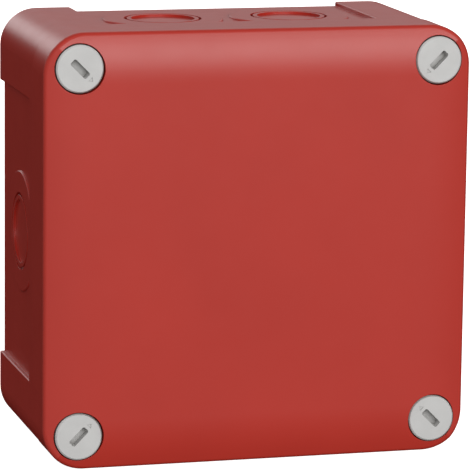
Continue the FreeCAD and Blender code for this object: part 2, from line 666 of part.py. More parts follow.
def make_terminal_block():
    body = new_body("terminal_block")
    ears = front_sketch(body, "block_ears", dim("platform"))
    box_outline(ears, "0", "0", f"{BLOCK_HALF} + {dim('ear_length')}", dim("block_width / 2 - 2"))
    pad(body, ears, dim("ear_rise"))
    core = front_sketch(body, "block_core", dim("platform"))
    box_outline(core, "0", "0", BLOCK_HALF, dim("block_width / 2"))
    pad(body, core, dim("block_rise"))
    round_edges(body, "block_edges", dim("edge_round"), lambda edge: (
        runs_to_wall(edge) and near(abs(edge.CenterOfMass.z), value(dim("block_width / 2")))))

    chambers = front_sketch(body, "block_chambers", f"{BARREL_FRONT} + {dim('barrel_play')}")
    access = front_sketch(body, "block_access", BLOCK_FRONT)
    grooves = front_sketch(body, "block_dividers", BLOCK_FRONT)
    for pole in range(POLES):
        centre = pole_centre(pole)
        box_outline(chambers, centre, "0", dim("barrel_width / 2 + barrel_play"),
                    dim("barrel_length / 2 + barrel_play"))
        for sign in (1, -1):
            circle(access, centre, f"{sign} * {dim('clamp_offset')}", dim("clamp_access"))
        if pole:
            box_outline(grooves, f"{centre} - {dim('pole_pitch / 2')}", "0", dim("divider_width / 2"),
                        dim("block_width"))
    pocket(body, chambers, dim("barrel_rise + 3 * barrel_play"))
    pocket(body, access, f"{BLOCK_FRONT} - {BARREL_FRONT}")
    pocket(body, grooves, dim("divider_depth"))

    along = FreeCAD.Rotation()
    for pole in range(POLES):
        body_cylinder(body, "Subtractive", f"block_funnel_{pole + 1}", dim("wire_funnel"),
                      dim("block_width + 2"), along, pole_centre(pole), f"-{WIRE_DEPTH}",
                      dim("0 - block_width / 2 - 1"))
    holes = front_sketch(body, "block_fixing_holes", BLOCK_FRONT)
    for sign in (1, -1):
        circle(holes, f"{sign} * {FIXING_X}", "0", dim("fixing_shank + fixing_play"))
    pocket(body, holes, dim("block_rise + 1"))
    return body


def make_barrel(pole):
    body = new_body(f"terminal_barrel_{pole + 1}")
    block = front_sketch(body, f"barrel_outline_{pole + 1}", dim("platform + barrel_play"))
    box_outline(block, "0", "0", dim("barrel_width / 2"), dim("barrel_length / 2"))
    pad(body, block, dim("barrel_rise"))
    threads = front_sketch(body, f"barrel_threads_{pole + 1}", BARREL_FRONT)
    for sign in (1, -1):
        circle(threads, "0", f"{sign} * {dim('clamp_offset')}", dim("clamp_shank + thread_play"))
    pocket(body, threads, f"{BARREL_FRONT} - {WIRE_DEPTH}")
    body_cylinder(body, "Subtractive", f"barrel_wire_bore_{pole + 1}", dim("wire_bore"),
                  dim("barrel_length + 2"), FreeCAD.Rotation(), "0", f"-{WIRE_DEPTH}",
                  dim("0 - barrel_length / 2 - 1"))
    place(body, pole_centre(pole), "0", "0")
    return body


def slotted_screw(name, x, z, head, head_height, shank, seat, tip, slot):
    """A cheese-head screw: head in front of the depth called seat, shank from there back to tip."""
    forward = FreeCAD.Rotation(FreeCAD.Vector(1, 0, 0), 90)
    cap = doc.addObject("Part::Cylinder", name + "_cap")
    cap.setExpression("Radius", head)
    cap.setExpression("Height", head_height)
    stem = doc.addObject("Part::Cylinder", name + "_stem")
    stem.setExpression("Radius", shank)
    stem.setExpression("Height", f"{seat} - {tip} + {dim('screw_joint')}")
    for drum, depth in ((cap, seat), (stem, tip)):
        drum.Placement = FreeCAD.Placement(FreeCAD.Vector(), forward)
        drum.setExpression("Placement.Base.y", f"-({depth})")
    blank = doc.addObject("Part::Fuse", name + "_blank")
    blank.Base = cap
    blank.Tool = stem
    groove = doc.addObject("Part::Box", name + "_groove")
    groove.setExpression("Length", f"{head} + {head}")  # as long as the head is wide, half as deep as it is high
    groove.setExpression("Width", f"{head_height} / 2")
    groove.setExpression("Height", slot)
    place(groove, f"-{head}", f"-({seat} + {head_height})", f"-{slot} / 2")
    screw = doc.addObject("Part::Cut", name)
    screw.Base = blank
    screw.Tool = groove
    place(screw, x, "0", z)
    return screw


def make_clamp_screw(row_name, sign, pole):
    seat = f"({BARREL_FRONT} + {dim('clamp_stand')})"
    tip = f"({WIRE_DEPTH} + {dim('wire_bore - clamp_bite')})"
    return slotted_screw(f"clamp_screw_{row_name}_{pole + 1}", pole_centre(pole),
                         f"{sign} * {dim('clamp_offset')}", dim("clamp_head"), dim("clamp_head_rise"),
                         dim("clamp_shank"), seat, tip, dim("clamp_slot"))


def make_block_fixings():
    pair = [
        slotted_screw(f"fixing_{side}", f"{sign} * {FIXING_X}", "0", dim("fixing_head"),
                      dim("fixing_head_rise"), dim("fixing_shank"), dim("platform + ear_rise"),
                      dim("fixing_tip"), dim("fixing_slot"))
        for side, sign in (("left", -1), ("right", 1))
    ]
    group = doc.addObject("Part::Compound", "block_fixings")
    group.Links = pair
    return group


parts = [make_base(), make_cover(), make_gasket()]
for corner_name, corner_x, corner_z in CORNERS:
    parts.append(make_cover_screw(corner_name, corner_x, corner_z))
    parts.append(make_screw_seal(corner_name, corner_x, corner_z))
parts.append(make_terminal_block())
for pole_number in range(POLES):
    parts.append(make_barrel(pole_number))
    parts.append(make_clamp_screw("upper", 1, pole_number))
    parts.append(make_clamp_screw("lower", -1, pole_number))
parts.append(make_block_fixings())
doc.recompute()

for item in doc.Objects:
    if {"Invalid", "Error"} & set(item.State):
        raise RuntimeError(f"{item.Name} failed: {item.State}")
os.makedirs("parts", exist_ok=True)
for part in parts:
    if part.Shape.isNull() or not part.Shape.isValid():
        raise RuntimeError(f"{part.Label} has no sound shape")
    part.Shape.exportStep(f"parts/{part.Label}.step")
    bounds = part.Shape.BoundBox
    print(part.Label, len(part.Shape.Solids), round(part.Shape.Volume, 1), bounds)
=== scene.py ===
import math
import random

import bpy
from mathutils import Matrix, Vector


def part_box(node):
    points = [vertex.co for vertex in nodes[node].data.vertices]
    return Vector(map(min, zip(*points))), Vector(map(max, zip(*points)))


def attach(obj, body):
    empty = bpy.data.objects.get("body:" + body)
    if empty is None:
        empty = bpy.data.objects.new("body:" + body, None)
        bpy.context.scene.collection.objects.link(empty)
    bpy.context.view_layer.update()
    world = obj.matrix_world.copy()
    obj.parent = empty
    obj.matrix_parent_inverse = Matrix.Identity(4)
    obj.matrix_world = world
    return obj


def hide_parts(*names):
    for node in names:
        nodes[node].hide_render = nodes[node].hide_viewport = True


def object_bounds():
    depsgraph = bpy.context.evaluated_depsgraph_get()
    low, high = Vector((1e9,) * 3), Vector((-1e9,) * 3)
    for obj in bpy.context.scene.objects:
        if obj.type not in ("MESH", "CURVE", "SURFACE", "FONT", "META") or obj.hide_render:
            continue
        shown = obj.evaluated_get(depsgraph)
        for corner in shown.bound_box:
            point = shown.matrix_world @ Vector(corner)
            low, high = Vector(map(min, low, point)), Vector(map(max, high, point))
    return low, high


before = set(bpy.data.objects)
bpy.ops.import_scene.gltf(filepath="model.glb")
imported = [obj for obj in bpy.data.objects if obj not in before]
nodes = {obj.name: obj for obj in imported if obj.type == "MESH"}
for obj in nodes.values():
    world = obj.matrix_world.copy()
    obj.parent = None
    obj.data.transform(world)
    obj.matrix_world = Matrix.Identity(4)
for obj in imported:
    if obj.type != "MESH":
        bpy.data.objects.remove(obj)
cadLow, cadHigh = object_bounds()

mm = 0.001
weldDistance = 0.0005 * mm
smoothAngle = 32  # degrees: edges that turn more than this stay crisp
corners = {"top_left": (-1, 1), "top_right": (1, 1), "bottom_left": (-1, -1), "bottom_right": (1, -1)}


# nodes, colours and meshes

def fromHex(code):  # sRGB hex to linear
    values = [int(code[i:i + 2], 16) / 255 for i in (1, 3, 5)]
    return tuple(v / 12.92 if v <= 0.04045 else ((v + 0.055) / 1.055) ** 2.4 for v in values) + (1.0,)


def grey(value):
    return (value, value, value, 1.0)


def addNode(tree, kind, inputs=None, links=None, **settings):
    node = tree.nodes.new(kind)
    for name, value in settings.items():
        setattr(node, name, value)
    for key, value in (inputs or {}).items():
        node.inputs[key].default_value = value
    for key, source in (links or {}).items():
        tree.links.new(source, node.inputs[key])
    return node


def ramp(tree, factor, stops):  # stops are pairs of a position and an sRGB hex
    node = addNode(tree, "ShaderNodeValToRGB", links={"Fac": factor})
    first, last = node.color_ramp.elements
    first.position, first.color = stops[0][0], fromHex(stops[0][1])
    last.position, last.color = stops[-1][0], fromHex(stops[-1][1])
    for position, colour in stops[1:-1]:
        node.color_ramp.elements.new(position).color = fromHex(colour)
    return node.outputs["Color"]


def newObject(name, mesh):
    piece = bpy.data.objects.new(name, mesh)
    bpy.context.scene.collection.objects.link(piece)
    return piece


def smoothMesh(mesh):
    mesh.shade_smooth()
    mesh.set_sharp_from_angle(angle=math.radians(smoothAngle))


def bake(source, name):  # modifiers into a plain mesh on a new object
    bpy.context.view_layer.update()
    graph = bpy.context.evaluated_depsgraph_get()
    mesh = bpy.data.meshes.new_from_object(source.evaluated_get(graph), depsgraph=graph)
    old = source.data
    bpy.data.objects.remove(source)
    bpy.data.meshes.remove(old)
    mesh.name = name
    return newObject(name, mesh)


def newTree(name, sockets):
    tree = bpy.data.node_groups.new(name, "GeometryNodeTree")
    tree.interface.new_socket("Geometry", in_out="INPUT", socket_type="NodeSocketGeometry")
    tree.interface.new_socket("Geometry", in_out="OUTPUT", socket_type="NodeSocketGeometry")
    for label, kind in sockets.items():
        tree.interface.new_socket(label, in_out="INPUT", socket_type="NodeSocket" + kind)
    return tree, addNode(tree, "NodeGroupInput").outputs


def endTree(tree, geometry, finish):  # every tree ends in real geometry with its finish on it
    real = addNode(tree, "GeometryNodeRealizeInstances", links={"Geometry": geometry})
    coated = addNode(tree, "GeometryNodeSetMaterial", links={"Geometry": real.outputs[0], "Material": finish})
    addNode(tree, "NodeGroupOutput", links={0: coated.outputs[0]})


def grow(tree, name, mesh, values):
    source = newObject(name + "Source", mesh)
    modifier = source.modifiers.new("shape", "NODES")
    modifier.node_group = tree
    sockets = {item.name: item.identifier for item in tree.interface.items_tree
               if item.item_type == "SOCKET" and item.in_out == "INPUT"}
    for label, value in values.items():
        modifier[sockets[label]] = value
    return bake(source, name)


def lineMesh(points):  # an open polyline
    links = [(i, i + 1) for i in range(len(points) - 1)]
    mesh = bpy.data.meshes.new("outline")
    mesh.from_pydata(points, links, [])
    return mesh


# finishes

def newMaterial(name):
    material = bpy.data.materials.new(name)
    material.use_nodes = True
    tree = material.node_tree
    tree.nodes.clear()
    shader = addNode(tree, "ShaderNodeBsdfPrincipled")
    addNode(tree, "ShaderNodeOutputMaterial", links={"Surface": shader.outputs["BSDF"]})
    return material, tree, shader, addNode(tree, "ShaderNodeTexCoord").outputs["Object"]


def lumps(tree, place, size, detail=2.0):  # a noise whose lumps are about size mm across
    return addNode(tree, "ShaderNodeTexNoise", {"Scale": 1 / (size * mm), "Detail": detail},
                   {"Vector": place}).outputs["Fac"]


def surface(tree, shader, relief, heightMm, strength, roundingMm):
    # fine relief over edges that are broken by a small radius
    soft = addNode(tree, "ShaderNodeBevel", {"Radius": roundingMm * mm}, samples=4)
    bump = addNode(tree, "ShaderNodeBump", {"Strength": strength, "Distance": heightMm * mm},
                   {"Height": relief, "Normal": soft.outputs[0]})
    tree.links.new(bump.outputs["Normal"], shader.inputs["Normal"])
    return soft.outputs[0]


def edgeMask(tree, soft, low=0.80, high=0.985):  # white where the rounded normal leaves the flat one
    flat = addNode(tree, "ShaderNodeNewGeometry").outputs["Normal"]
    along = addNode(tree, "ShaderNodeVectorMath", links={0: soft, 1: flat}, operation="DOT_PRODUCT")
    return addNode(tree, "ShaderNodeMapRange",
                   {"From Min": high, "From Max": low, "To Min": 0.0, "To Max": 1.0},
                   {"Value": along.outputs["Value"]}).outputs["Result"]


def roughen(tree, shader, pattern, low, high):  # spreads the middle of a noise over low to high
    spread = addNode(tree, "ShaderNodeMapRange",
                     {"From Min": 0.3, "From Max": 0.7, "To Min": low, "To Max": high},
                     {"Value": pattern}).outputs["Result"]
    tree.links.new(spread, shader.inputs["Roughness"])


def blend(tree, factor, first, second):  # the colours are sockets or fixed values
    mix = addNode(tree, "ShaderNodeMix", data_type="RGBA")
    for socket, value in ((mix.inputs[0], factor), (mix.inputs[6], first), (mix.inputs[7], second)):
        if isinstance(value, tuple):
            socket.default_value = value
        else:
            tree.links.new(value, socket)
    return mix.outputs[2]


redPlastic = {"clouds": ((0.3, "#AF2A1D"), (0.5, "#B12B1E"), (0.7, "#B32C1F")), "cloudMm": 26.0,
              "edge": "#BE3A2B", "edgeShare": 0.35, "rough": (0.32, 0.35), "smearMm": 5.0,
              "grainMm": 0.45, "grainHeightMm": 0.01, "grainStrength": 0.3, "roundingMm": 0.18, "ior": 1.49}


def makeRedPolypropylene():
    # injection-moulded flame-retardant polypropylene: an even satin red with faint clouds from the flow of
    # the melt, a fine spark-eroded grain (about 0.05 mm in the tool, drawn at 0.45 mm so that it shows) and
    # edges rubbed a shade paler
    look = redPlastic
    material, tree, shader, place = newMaterial("mouldedPolypropyleneRed")
    clouds = ramp(tree, lumps(tree, place, look["cloudMm"], 3.0), look["clouds"])
    soft = surface(tree, shader, lumps(tree, place, look["grainMm"]), look["grainHeightMm"],
                   look["grainStrength"], look["roundingMm"])
    worn = addNode(tree, "ShaderNodeMath", {1: look["edgeShare"]}, {0: edgeMask(tree, soft)},
                   operation="MULTIPLY").outputs[0]
    tree.links.new(blend(tree, worn, clouds, fromHex(look["edge"])), shader.inputs["Base Color"])
    roughen(tree, shader, lumps(tree, place, look["smearMm"], 4.0), *look["rough"])
    shader.inputs["IOR"].default_value = look["ior"]
    return material


# the dark grey below, with its occlusion distance, share and range, is painted shade for the slots and the gap
# round the head
greyPlastic = {"clouds": ((0.35, "#C0BFBD"), (0.65, "#C5C4C2")), "cloudMm": 4.0, "edge": "#CECCC9",
               "paintedShade": "#7E7C78", "paintedShadeMm": 1.4, "paintedShadeShare": 0.66, "paintedShadeRange": (0.85, 0.35),
               "rough": (0.40, 0.5), "smearMm": 1.5, "grainMm": 0.3, "grainHeightMm": 0.006,
               "grainStrength": 0.3, "roundingMm": 0.12, "ior": 1.53}


def makeGreyNylon():
    # injection-moulded glass-filled nylon: light grey, a little mottled by the fibres, with a dull sheen, and
    # painted shade from ambient occlusion darkening the slots and the gap round the head
    look = greyPlastic
    material, tree, shader, place = newMaterial("mouldedNylonGrey")
    clouds = ramp(tree, lumps(tree, place, look["cloudMm"], 4.0), look["clouds"])
    soft = surface(tree, shader, lumps(tree, place, look["grainMm"], 3.0), look["grainHeightMm"],
                   look["grainStrength"], look["roundingMm"])
    # painted shade: the colour turns to the dark grey where ambient occlusion finds the slots and the gap round
    # the head
    openness = addNode(tree, "ShaderNodeAmbientOcclusion", {"Distance": look["paintedShadeMm"] * mm},
                       samples=8).outputs["AO"]
    unshadedLevel, shadedLevel = look["paintedShadeRange"]
    paintedShade = addNode(tree, "ShaderNodeMapRange",
                    {"From Min": unshadedLevel, "From Max": shadedLevel, "To Min": 0.0, "To Max": look["paintedShadeShare"]},
                    {"Value": openness}).outputs["Result"]
    rubbed = blend(tree, edgeMask(tree, soft), clouds, fromHex(look["edge"]))
    tree.links.new(blend(tree, paintedShade, rubbed, fromHex(look["paintedShade"])), shader.inputs["Base Color"])
    roughen(tree, shader, lumps(tree, place, look["smearMm"], 3.0), *look["rough"])
    shader.inputs["IOR"].default_value = look["ior"]
    return material


rubber = {"bloom": ((0.45, "#2B2B2A"), (0.8, "#454442")), "bloomMm": 2.5, "rough": (0.6, 0.78),
          "grainMm": 0.25, "grainHeightMm": 0.02, "grainStrength": 0.5, "roundingMm": 0.08, "sheen": 0.08}


def makeRubber():
    # extruded and moulded EPDM rubber: near black, matt, with a grey bloom of moulding powder
    look = rubber
    material, tree, shader, place = newMaterial("mouldedRubberBlack")
    bloom = ramp(tree, lumps(tree, place, look["bloomMm"], 5.0), look["bloom"])
    tree.links.new(bloom, shader.inputs["Base Color"])
    grain = lumps(tree, place, look["grainMm"], 3.0)
    roughen(tree, shader, grain, *look["rough"])
    surface(tree, shader, grain, look["grainHeightMm"], look["grainStrength"], look["roundingMm"])
    shader.inputs["Sheen Weight"].default_value = look["sheen"]
    return material


porcelain = {"specks": ((0.5, "#EDE7D9"), (0.78, "#D9CFBB")), "speckMm": 0.6, "rough": (0.16, 0.3),
             "poolMm": 3.0, "poolHeightMm": 0.05, "poolStrength": 0.4, "roundingMm": 0.25, "ior": 1.55,
             "glaze": 0.5, "glazeRough": 0.08}


def makePorcelain():
    # dry-pressed steatite with a thin glaze: ivory, glossy, slightly wavy where the glaze has pooled
    look = porcelain
    material, tree, shader, place = newMaterial("glazedSteatite")
    specks = ramp(tree, lumps(tree, place, look["speckMm"], 5.0), look["specks"])
    tree.links.new(specks, shader.inputs["Base Color"])
    pools = lumps(tree, place, look["poolMm"], 2.0)
    roughen(tree, shader, pools, *look["rough"])
    surface(tree, shader, pools, look["poolHeightMm"], look["poolStrength"], look["roundingMm"])
    shader.inputs["IOR"].default_value = look["ior"]
    shader.inputs["Coat Weight"].default_value = look["glaze"]
    shader.inputs["Coat Roughness"].default_value = look["glazeRough"]
    return material


brass = {"patches": ((0.35, "#A37C38"), (0.6, "#C9A14E")), "patchMm": 1.6, "rough": (0.22, 0.42),
         "lineMm": 0.25, "lineStretch": 0.03, "lineHeightMm": 0.01, "lineStrength": 0.4, "roundingMm": 0.12}


def makeBrass():
    # drawn brass bar, sawn to length: yellow metal with fine draw lines along the bar and dull patches
    look = brass
    material, tree, shader, place = newMaterial("drawnBrass")
    patches = ramp(tree, lumps(tree, place, look["patchMm"], 4.0), look["patches"])
    tree.links.new(patches, shader.inputs["Base Color"])
    drawn = addNode(tree, "ShaderNodeMapping", {"Scale": (1.0, 1.0, look["lineStretch"])},
                    {"Vector": place}).outputs["Vector"]
    lines = lumps(tree, drawn, look["lineMm"], 2.0)
    roughen(tree, shader, lines, *look["rough"])
    surface(tree, shader, lines, look["lineHeightMm"], look["lineStrength"], look["roundingMm"])
    shader.inputs["Metallic"].default_value = 1.0
    return material


zinc = {"film": ((0.35, "#9FA4A8"), (0.6, "#C3C6C8")), "filmMm": 1.2, "rough": (0.24, 0.45),
        "scuffMm": 0.35, "scuffHeightMm": 0.01, "scuffStrength": 0.35, "roundingMm": 0.08}


def makeZincSteel():
    # cold-headed steel, zinc plated and passivated: bluish grey with tumbling scuffs
    look = zinc
    material, tree, shader, place = newMaterial("zincPlatedSteel")
    film = ramp(tree, lumps(tree, place, look["filmMm"], 4.0), look["film"])
    tree.links.new(film, shader.inputs["Base Color"])
    scuffs = lumps(tree, place, look["scuffMm"], 4.0)
    roughen(tree, shader, scuffs, *look["rough"])
    surface(tree, shader, scuffs, look["scuffHeightMm"], look["scuffStrength"], look["roundingMm"])
    shader.inputs["Metallic"].default_value = 1.0
    return material


redFinish, greyFinish, rubberFinish = makeRedPolypropylene(), makeGreyNylon(), makeRubber()
porcelainFinish, brassFinish, zincFinish = makePorcelain(), makeBrass(), makeZincSteel()
print("finishes made")


# camera

view = {"place": (-0.221654, -0.831435, 0.153994), "yaw": 0.2705, "pitch": 0.1847, "roll": 0.0123,
        "lens": 263.74, "sensor": 36, "nearest": 0.01, "farthest": 30}


def makeCamera():
    lens = bpy.data.cameras.new("studioCamera")
    lens.sensor_width = view["sensor"]
    lens.lens = view["lens"]
    lens.clip_start, lens.clip_end = view["nearest"], view["farthest"]
    camera = bpy.data.objects.new("studioCamera", lens)
    bpy.context.scene.collection.objects.link(camera)
    yaw, pitch, roll = view["yaw"], view["pitch"], view["roll"]
    ahead = Vector((math.sin(yaw) * math.cos(pitch), math.cos(yaw) * math.cos(pitch), -math.sin(pitch)))
    right = Vector((math.cos(yaw), -math.sin(yaw), 0))
    up = right.cross(ahead)
    tiltedRight = math.cos(roll) * right + math.sin(roll) * up
    tiltedUp = -math.sin(roll) * right + math.cos(roll) * up
    turn = Matrix((tiltedRight, tiltedUp, -ahead)).transposed()
    camera.matrix_world = Matrix.Translation(view["place"]) @ turn.to_4x4()
    bpy.context.scene.camera = camera


# floor and light

# each glow of the world is brightest towards its aim; the softboxes face the origin
studio = {"floorColour": "#F2F2F0", "floorSize": 14.0, "floorGapMm": 0.1, "floorGlow": 0.97, "toothMm": 0.6,
          "toothHeightMm": 0.1, "toothStrength": 0.05, "floorRough": 0.95,
          "frontGlow": 0.94, "frontAim": (0.12, -1.0, 0.0), "lowShare": 0.35, "lowRange": (-0.6, 0.1),
          "topGlow": 0.12, "topAim": (0.0, 0.0, 1.0), "leftGlow": 0.36, "leftAim": (-1.0, -0.2, 0.0),
          "rightGlow": 0.10, "rightAim": (1.0, -0.2, 0.0),
          "backGlow": 0.9, "backAim": (0.0, 1.0, 0.1), "backRange": (0.04, 0.24),
          "keyPlace": (0.22, -1.14, 0.38), "keySize": (1.5, 0.40), "keyPower": 8.8,
          "rimPlace": (-0.27, 1.25, 0.36), "rimSize": (0.30, 0.36), "rimPower": 0.6,
          "fillPlace": (1.1, 0.95, 0.15), "fillSize": (0.8, 0.8), "fillPower": 7.0}


def softbox(role):
    lamp = bpy.data.lights.new(role + "Softbox", "AREA")
    lamp.shape = "RECTANGLE"
    lamp.size, lamp.size_y = studio[role + "Size"]
    lamp.energy = studio[role + "Power"]
    light = bpy.data.objects.new(role + "Softbox", lamp)
    bpy.context.scene.collection.objects.link(light)
    light.location = studio[role + "Place"]
    light.rotation_euler = (-light.location).to_track_quat("-Z", "Y").to_euler()
    light.visible_camera = False
    return light


def makeFloor():
    half, level = studio["floorSize"] / 2, cadLow.z - studio["floorGapMm"] * mm
    mesh = bpy.data.meshes.new("studioFloor")
    mesh.from_pydata([(-half, -half, level), (half, -half, level), (half, half, level), (-half, half, level)],
                     [], [(0, 1, 2, 3)])
    floor = newObject("studioFloor", mesh)
    floor.visible_diffuse = floor.visible_glossy = False  # the pale floor doesn't tint the box
    material, tree, shader, place = newMaterial("mattPaperFloor")
    tooth = addNode(tree, "ShaderNodeBump",
                    {"Strength": studio["toothStrength"], "Distance": studio["toothHeightMm"] * mm},
                    {"Height": lumps(tree, place, studio["toothMm"])})
    tree.links.new(tooth.outputs["Normal"], shader.inputs["Normal"])
    shader.inputs["Base Color"].default_value = fromHex(studio["floorColour"])
    shader.inputs["Roughness"].default_value = studio["floorRough"]
    shader.inputs["Emission Color"].default_value = grey(1.0)
    shader.inputs["Emission Strength"].default_value = studio["floorGlow"]
    mesh.materials.append(material)


def makeRoom():
    world = bpy.data.worlds.new("studioWorld")
    bpy.context.scene.world = world
    world.use_nodes = True
    tree = world.node_tree
    tree.nodes.clear()
    direction = addNode(tree, "ShaderNodeTexCoord").outputs["Generated"]
    height = addNode(tree, "ShaderNodeSeparateXYZ", links={"Vector": direction}).outputs["Z"]

    def towards(side, before=None):  # brightest towards its aim, dark at right angles to it and behind
        facing = addNode(tree, "ShaderNodeVectorMath", {1: Vector(studio[side + "Aim"]).normalized()},
                         {0: direction}, operation="DOT_PRODUCT")
        front = addNode(tree, "ShaderNodeMath", {1: 0.0}, {0: facing.outputs["Value"]}, operation="MAXIMUM")
        total = addNode(tree, "ShaderNodeMath", {1: studio[side + "Glow"], 2: 0.0}, {0: front.outputs[0]},
                        operation="MULTIPLY_ADD")
        if before:
            tree.links.new(before, total.inputs[2])
        return total.outputs[0]

    def climb(heights, least, shape):  # from least to 1 between two heights of the direction
        return addNode(tree, "ShaderNodeMapRange",
                       {"From Min": heights[0], "From Max": heights[1], "To Min": least, "To Max": 1.0},
                       {"Value": height}, interpolation_type=shape).outputs["Result"]

    lit = climb(studio["lowRange"], studio["lowShare"], "LINEAR")
    glow = addNode(tree, "ShaderNodeMath", links={0: towards("front"), 1: lit}, operation="MULTIPLY").outputs[0]
    for side in ("top", "left", "right"):
        glow = towards(side, glow)
    above = climb(studio["backRange"], 0.0, "SMOOTHSTEP")
    wall = addNode(tree, "ShaderNodeMath", links={0: above, 1: towards("back")}, operation="MULTIPLY")
    whole = addNode(tree, "ShaderNodeMath", links={0: glow, 1: wall.outputs[0]}, operation="ADD")
    room = addNode(tree, "ShaderNodeBackground", links={"Strength": whole.outputs[0]})
    backdrop = addNode(tree, "ShaderNodeBackground", {"Color": grey(1.0)})
    seen = addNode(tree, "ShaderNodeLightPath").outputs["Is Camera Ray"]
    mixed = addNode(tree, "ShaderNodeMixShader", links={0: seen, 1: room.outputs[0], 2: backdrop.outputs[0]})
    addNode(tree, "ShaderNodeOutputWorld", links={"Surface": mixed.outputs[0]})


def makeStudio():
    bpy.context.scene.view_settings.view_transform = "Standard"
    makeFloor()
    softbox("key")
    softbox("rim")
    softbox("fill").visible_glossy = False  # lights the back and the right side without glints
    makeRoom()


makeCamera()
makeStudio()
print("camera, floor and lights made")


# mouldings

def coat(node, finish):  # the frame's own shape with its finish
    mesh = nodes[node].data
    mesh.materials.clear()
    mesh.materials.append(finish)


for node in ("base", "cover"):
    coat(node, redFinish)
coat("terminal_block", porcelainFinish)
for pole in range(1, 6):
    coat(f"terminal_barrel_{pole}", brassFinish)
coat("cover_gasket", rubberFinish)
for corner in corners:
    coat(f"screw_seal_{corner}", rubberFinish)
print("mouldings, barrels and seals coated")


# screws

def makeScrewTree():
    # turns a profile (radius in x, height in z, middle of the head first) about its axis, presses the slot
    # and the pointer into the head, adds the lugs, lays the screw along the wall's normal and repeats it
    tree, given = newTree("turnedScrew", {
        "Segments": "Int", "Face": "Float", "Slot Length": "Float", "Slot Width": "Float",
        "Slot Depth": "Float", "Slot Ramp": "Float", "Slot Rounding": "Float", "Pointer Start": "Float",
        "Pointer Length": "Float", "Pointer Width": "Float", "Pointer Depth": "Float", "Lug Reach": "Float",
        "Lug Width": "Float", "Lug Height": "Float", "Lug Middle": "Float", "Turn": "Float",
        "Place": "Vector", "Count": "Int", "Step": "Vector", "Finish": "Material"})

    def calc(operation, first, second=None, third=None):
        node = addNode(tree, "ShaderNodeMath", operation=operation)
        for socket, value in zip(node.inputs, (first, second, third)):
            if isinstance(value, (int, float)):
                socket.default_value = value
            elif value is not None:
                tree.links.new(value, socket)
        return node.outputs[0]

    def vector(x=0.0, y=0.0, z=0.0):
        node = addNode(tree, "ShaderNodeCombineXYZ")
        for socket, value in zip(node.inputs, (x, y, z)):
            if isinstance(value, float):
                socket.default_value = value
            else:
                tree.links.new(value, socket)
        return node.outputs[0]

    def moved(geometry, shift):
        return addNode(tree, "GeometryNodeTransform",
                       links={"Geometry": geometry, "Translation": shift}).outputs[0]

    def welded(geometry):
        return addNode(tree, "GeometryNodeMergeByDistance", {"Distance": weldDistance},
                       {"Geometry": geometry}).outputs[0]

    def onlyIf(size, geometry):  # nothing where the size is zero
        return addNode(tree, "GeometryNodeSwitch", input_type="GEOMETRY",
                       links={"Switch": calc("GREATER_THAN", size, 0.0), "True": geometry}).outputs[0]

    count = addNode(tree, "GeometryNodeAttributeDomainSize",
                    links={"Geometry": given["Geometry"]}).outputs["Point Count"]
    around = calc("ADD", given["Segments"], 1.0)
    sheet = addNode(tree, "GeometryNodeMeshGrid", links={"Vertices X": count, "Vertices Y": around})
    index = addNode(tree, "GeometryNodeInputIndex").outputs[0]
    row = calc("FLOOR", calc("DIVIDE", index, around))
    column = calc("SUBTRACT", index, calc("MULTIPLY", row, around))
    position = addNode(tree, "GeometryNodeInputPosition").outputs[0]
    profile = addNode(tree, "GeometryNodeSampleIndex", data_type="FLOAT_VECTOR",
                      links={"Geometry": given["Geometry"], "Value": position, "Index": row})
    across = addNode(tree, "ShaderNodeSeparateXYZ", links={"Vector": profile.outputs[0]}).outputs
    angle = calc("DIVIDE", calc("MULTIPLY", column, 2 * math.pi), given["Segments"])
    wrapped = vector(calc("MULTIPLY", across["X"], calc("COSINE", angle)),
                     calc("MULTIPLY", across["X"], calc("SINE", angle)), across["Z"])
    turned = addNode(tree, "GeometryNodeSetPosition",
                     links={"Geometry": sheet.outputs["Mesh"], "Position": wrapped})
    closed = welded(turned.outputs[0])

    depth = given["Slot Depth"]
    opening = addNode(tree, "GeometryNodeCurvePrimitiveQuadrilateral",
                      links={"Width": given["Slot Length"], "Height": given["Slot Width"]})
    rounded = addNode(tree, "GeometryNodeFilletCurve", {"Count": 6},
                      {"Curve": opening.outputs[0], "Radius": given["Slot Rounding"]}, mode="POLY")
    through = addNode(tree, "GeometryNodeCurvePrimitiveLine",
                      links={"Start": vector(z=calc("MULTIPLY", depth, -1.0)), "End": vector(z=depth)})
    bar = addNode(tree, "GeometryNodeCurveToMesh", {"Fill Caps": True},
                  {"Curve": through.outputs[0], "Profile Curve": rounded.outputs[0]})
    place = addNode(tree, "ShaderNodeSeparateXYZ", links={"Vector": position}).outputs
    slope = calc("DIVIDE", calc("MULTIPLY", given["Slot Ramp"], 2.0),
                 calc("MULTIPLY", given["Slot Length"], depth))
    widened = vector(calc("MULTIPLY", place["X"], calc("MULTIPLY_ADD", place["Z"], slope, 1.0)),
                     place["Y"], place["Z"])
    ramped = addNode(tree, "GeometryNodeSetPosition",
                     links={"Geometry": bar.outputs["Mesh"], "Position": widened})
    slotCutter = moved(ramped.outputs[0], vector(z=given["Face"]))

    # a three-sided prism of radius 1 is 1.5 long and the root of 3 wide, its centre a third of the way along
    wedge = addNode(tree, "GeometryNodeMeshCylinder", {"Vertices": 3, "Radius": 1.0, "Depth": 2.0})
    stretch = vector(calc("DIVIDE", given["Pointer Length"], 1.5),
                     calc("DIVIDE", given["Pointer Width"], 3 ** 0.5), given["Pointer Depth"])
    start = calc("ADD", given["Pointer Start"], calc("DIVIDE", given["Pointer Length"], 3.0))
    pointer = addNode(tree, "GeometryNodeTransform",
                      links={"Geometry": wedge.outputs["Mesh"], "Scale": stretch,
                             "Translation": vector(start, 0.0, given["Face"])})
    cut = addNode(tree, "GeometryNodeMeshBoolean", links={"Mesh 1": closed, "Mesh 2": slotCutter},
                  operation="DIFFERENCE", solver="EXACT")
    tree.links.new(onlyIf(given["Pointer Depth"], pointer.outputs[0]), cut.inputs["Mesh 2"])

